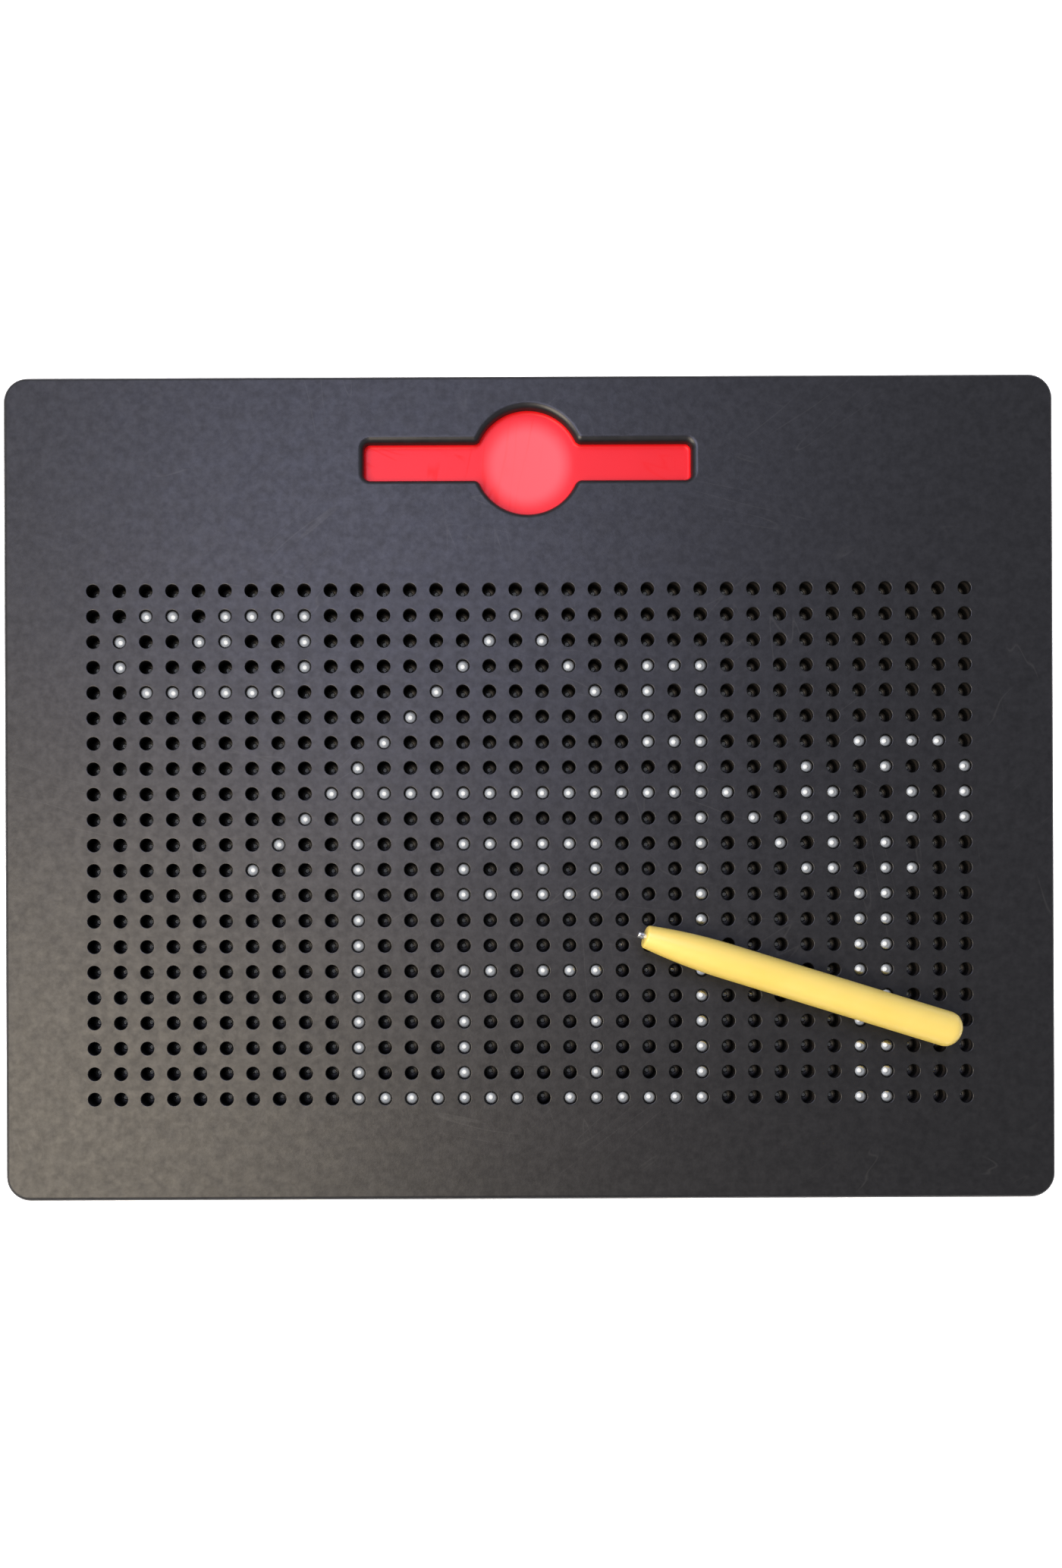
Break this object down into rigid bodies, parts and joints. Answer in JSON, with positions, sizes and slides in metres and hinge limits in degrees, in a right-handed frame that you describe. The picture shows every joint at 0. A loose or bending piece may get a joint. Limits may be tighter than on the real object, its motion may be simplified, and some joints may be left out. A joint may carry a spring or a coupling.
{
  "type": "magnetic bead drawing board",
  "caption": "Flat drawing board with a perforated face over rows of trapped steel beads, a simple bead drawing, a pen slot with a finger well, and a magnetic pen.",
  "frame": {"origin": "on the table, under the middle of the board", "axes": "+X along the bead rows, +Y towards the pen recess, +Z out of the drawing face"},
  "size_m": [0.265, 0.208, 0.0213],
  "materials": {
    "black_shell": "moulded black ABS with a fine matt grain, lightly scuffed",
    "red_moulding": "moulded red ABS, satin gloss",
    "well_block": "moulded black ABS",
    "magnet_rubber": "dark brown bonded magnet sheet",
    "yellow_pen": "moulded yellow polystyrene, satin gloss",
    "magnet_plating": "nickel-plated magnet",
    "tip_steel": "turned steel",
    "bead_steel": "polished bearing steel"
  },
  "bodies": {
    "board": {"front_cover": "black_shell", "magnet_sheet": "magnet_rubber", "bead_wells": "well_block", "pen_tray": "red_moulding", "back_plate": "red_moulding"},
    "pen": {"pen_barrel": "yellow_pen", "pen_plug": "yellow_pen", "pen_magnet": "magnet_plating", "pen_tip": "tip_steel"},
    "drawn_row_02": {"drawn_beads_row_02": "bead_steel"},
    "drawn_row_03": {"drawn_beads_row_03": "bead_steel"},
    "drawn_row_04": {"drawn_beads_row_04": "bead_steel"},
    "drawn_row_05": {"drawn_beads_row_05": "bead_steel"},
    "drawn_row_06": {"drawn_beads_row_06": "bead_steel"},
    "drawn_row_07": {"drawn_beads_row_07": "bead_steel"},
    "drawn_row_08": {"drawn_beads_row_08": "bead_steel"},
    "drawn_row_09": {"drawn_beads_row_09": "bead_steel"},
    "drawn_row_10": {"drawn_beads_row_10": "bead_steel"},
    "drawn_row_11": {"drawn_beads_row_11": "bead_steel"},
    "drawn_row_12": {"drawn_beads_row_12": "bead_steel"},
    "drawn_row_13": {"drawn_beads_row_13": "bead_steel"},
    "drawn_row_14": {"drawn_beads_row_14": "bead_steel"},
    "drawn_row_15": {"drawn_beads_row_15": "bead_steel"},
    "drawn_row_16": {"drawn_beads_row_16": "bead_steel"},
    "drawn_row_17": {"drawn_beads_row_17": "bead_steel"},
    "drawn_row_18": {"drawn_beads_row_18": "bead_steel"},
    "drawn_row_19": {"drawn_beads_row_19": "bead_steel"},
    "drawn_row_20": {"drawn_beads_row_20": "bead_steel"},
    "drawn_row_21": {"drawn_beads_row_21": "bead_steel"},
    "resting_row_01": {"resting_beads_row_01": "bead_steel"},
    "resting_row_02": {"resting_beads_row_02": "bead_steel"},
    "resting_row_03": {"resting_beads_row_03": "bead_steel"},
    "resting_row_04": {"resting_beads_row_04": "bead_steel"},
    "resting_row_05": {"resting_beads_row_05": "bead_steel"},
    "resting_row_06": {"resting_beads_row_06": "bead_steel"},
    "resting_row_07": {"resting_beads_row_07": "bead_steel"},
    "resting_row_08": {"resting_beads_row_08": "bead_steel"},
    "resting_row_09": {"resting_beads_row_09": "bead_steel"},
    "resting_row_10": {"resting_beads_row_10": "bead_steel"},
    "resting_row_11": {"resting_beads_row_11": "bead_steel"},
    "resting_row_12": {"resting_beads_row_12": "bead_steel"},
    "resting_row_13": {"resting_beads_row_13": "bead_steel"},
    "resting_row_14": {"resting_beads_row_14": "bead_steel"},
    "resting_row_15": {"resting_beads_row_15": "bead_steel"},
    "resting_row_16": {"resting_beads_row_16": "bead_steel"},
    "resting_row_17": {"resting_beads_row_17": "bead_steel"},
    "resting_row_18": {"resting_beads_row_18": "bead_steel"},
    "resting_row_19": {"resting_beads_row_19": "bead_steel"},
    "resting_row_20": {"resting_beads_row_20": "bead_steel"},
    "resting_row_21": {"resting_beads_row_21": "bead_steel"}
  },
  "joints": [
    {"name": "pen_lift", "type": "slide", "parent": "board", "child": "pen", "axis": [0, 0, 1], "range_m": [0, 0.05]},
    {"name": "press_row_02", "type": "slide", "parent": "board", "child": "drawn_row_02", "axis": [0, 0, 1], "range_m": [-0.003, 0]},
    {"name": "press_row_03", "type": "slide", "parent": "board", "child": "drawn_row_03", "axis": [0, 0, 1], "range_m": [-0.003, 0]},
    {"name": "press_row_04", "type": "slide", "parent": "board", "child": "drawn_row_04", "axis": [0, 0, 1], "range_m": [-0.003, 0]},
    {"name": "press_row_05", "type": "slide", "parent": "board", "child": "drawn_row_05", "axis": [0, 0, 1], "range_m": [-0.003, 0]},
    {"name": "press_row_06", "type": "slide", "parent": "board", "child": "drawn_row_06", "axis": [0, 0, 1], "range_m": [-0.003, 0]},
    {"name": "press_row_07", "type": "slide", "parent": "board", "child": "drawn_row_07", "axis": [0, 0, 1], "range_m": [-0.003, 0]},
    {"name": "press_row_08", "type": "slide", "parent": "board", "child": "drawn_row_08", "axis": [0, 0, 1], "range_m": [-0.003, 0]},
    {"name": "press_row_09", "type": "slide", "parent": "board", "child": "drawn_row_09", "axis": [0, 0, 1], "range_m": [-0.003, 0]},
    {"name": "press_row_10", "type": "slide", "parent": "board", "child": "drawn_row_10", "axis": [0, 0, 1], "range_m": [-0.003, 0]},
    {"name": "press_row_11", "type": "slide", "parent": "board", "child": "drawn_row_11", "axis": [0, 0, 1], "range_m": [-0.003, 0]},
    {"name": "press_row_12", "type": "slide", "parent": "board", "child": "drawn_row_12", "axis": [0, 0, 1], "range_m": [-0.003, 0]},
    {"name": "press_row_13", "type": "slide", "parent": "board", "child": "drawn_row_13", "axis": [0, 0, 1], "range_m": [-0.003, 0]},
    {"name": "press_row_14", "type": "slide", "parent": "board", "child": "drawn_row_14", "axis": [0, 0, 1], "range_m": [-0.003, 0]},
    {"name": "press_row_15", "type": "slide", "parent": "board", "child": "drawn_row_15", "axis": [0, 0, 1], "range_m": [-0.003, 0]},
    {"name": "press_row_16", "type": "slide", "parent": "board", "child": "drawn_row_16", "axis": [0, 0, 1], "range_m": [-0.003, 0]},
    {"name": "press_row_17", "type": "slide", "parent": "board", "child": "drawn_row_17", "axis": [0, 0, 1], "range_m": [-0.003, 0]},
    {"name": "press_row_18", "type": "slide", "parent": "board", "child": "drawn_row_18", "axis": [0, 0, 1], "range_m": [-0.003, 0]},
    {"name": "press_row_19", "type": "slide", "parent": "board", "child": "drawn_row_19", "axis": [0, 0, 1], "range_m": [-0.003, 0]},
    {"name": "press_row_20", "type": "slide", "parent": "board", "child": "drawn_row_20", "axis": [0, 0, 1], "range_m": [-0.003, 0]},
    {"name": "press_row_21", "type": "slide", "parent": "board", "child": "drawn_row_21", "axis": [0, 0, 1], "range_m": [-0.003, 0]},
    {"name": "pull_row_01", "type": "slide", "parent": "board", "child": "resting_row_01", "axis": [0, 0, 1], "range_m": [0, 0.003]},
    {"name": "pull_row_02", "type": "slide", "parent": "board", "child": "resting_row_02", "axis": [0, 0, 1], "range_m": [0, 0.003]},
    {"name": "pull_row_03", "type": "slide", "parent": "board", "child": "resting_row_03", "axis": [0, 0, 1], "range_m": [0, 0.003]},
    {"name": "pull_row_04", "type": "slide", "parent": "board", "child": "resting_row_04", "axis": [0, 0, 1], "range_m": [0, 0.003]},
    {"name": "pull_row_05", "type": "slide", "parent": "board", "child": "resting_row_05", "axis": [0, 0, 1], "range_m": [0, 0.003]},
    {"name": "pull_row_06", "type": "slide", "parent": "board", "child": "resting_row_06", "axis": [0, 0, 1], "range_m": [0, 0.003]},
    {"name": "pull_row_07", "type": "slide", "parent": "board", "child": "resting_row_07", "axis": [0, 0, 1], "range_m": [0, 0.003]},
    {"name": "pull_row_08", "type": "slide", "parent": "board", "child": "resting_row_08", "axis": [0, 0, 1], "range_m": [0, 0.003]},
    {"name": "pull_row_09", "type": "slide", "parent": "board", "child": "resting_row_09", "axis": [0, 0, 1], "range_m": [0, 0.003]},
    {"name": "pull_row_10", "type": "slide", "parent": "board", "child": "resting_row_10", "axis": [0, 0, 1], "range_m": [0, 0.003]},
    {"name": "pull_row_11", "type": "slide", "parent": "board", "child": "resting_row_11", "axis": [0, 0, 1], "range_m": [0, 0.003]},
    {"name": "pull_row_12", "type": "slide", "parent": "board", "child": "resting_row_12", "axis": [0, 0, 1], "range_m": [0, 0.003]},
    {"name": "pull_row_13", "type": "slide", "parent": "board", "child": "resting_row_13", "axis": [0, 0, 1], "range_m": [0, 0.003]},
    {"name": "pull_row_14", "type": "slide", "parent": "board", "child": "resting_row_14", "axis": [0, 0, 1], "range_m": [0, 0.003]},
    {"name": "pull_row_15", "type": "slide", "parent": "board", "child": "resting_row_15", "axis": [0, 0, 1], "range_m": [0, 0.003]},
    {"name": "pull_row_16", "type": "slide", "parent": "board", "child": "resting_row_16", "axis": [0, 0, 1], "range_m": [0, 0.003]},
    {"name": "pull_row_17", "type": "slide", "parent": "board", "child": "resting_row_17", "axis": [0, 0, 1], "range_m": [0, 0.003]},
    {"name": "pull_row_18", "type": "slide", "parent": "board", "child": "resting_row_18", "axis": [0, 0, 1], "range_m": [0, 0.003]},
    {"name": "pull_row_19", "type": "slide", "parent": "board", "child": "resting_row_19", "axis": [0, 0, 1], "range_m": [0, 0.003]},
    {"name": "pull_row_20", "type": "slide", "parent": "board", "child": "resting_row_20", "axis": [0, 0, 1], "range_m": [0, 0.003]},
    {"name": "pull_row_21", "type": "slide", "parent": "board", "child": "resting_row_21", "axis": [0, 0, 1], "range_m": [0, 0.003]}
  ]
}
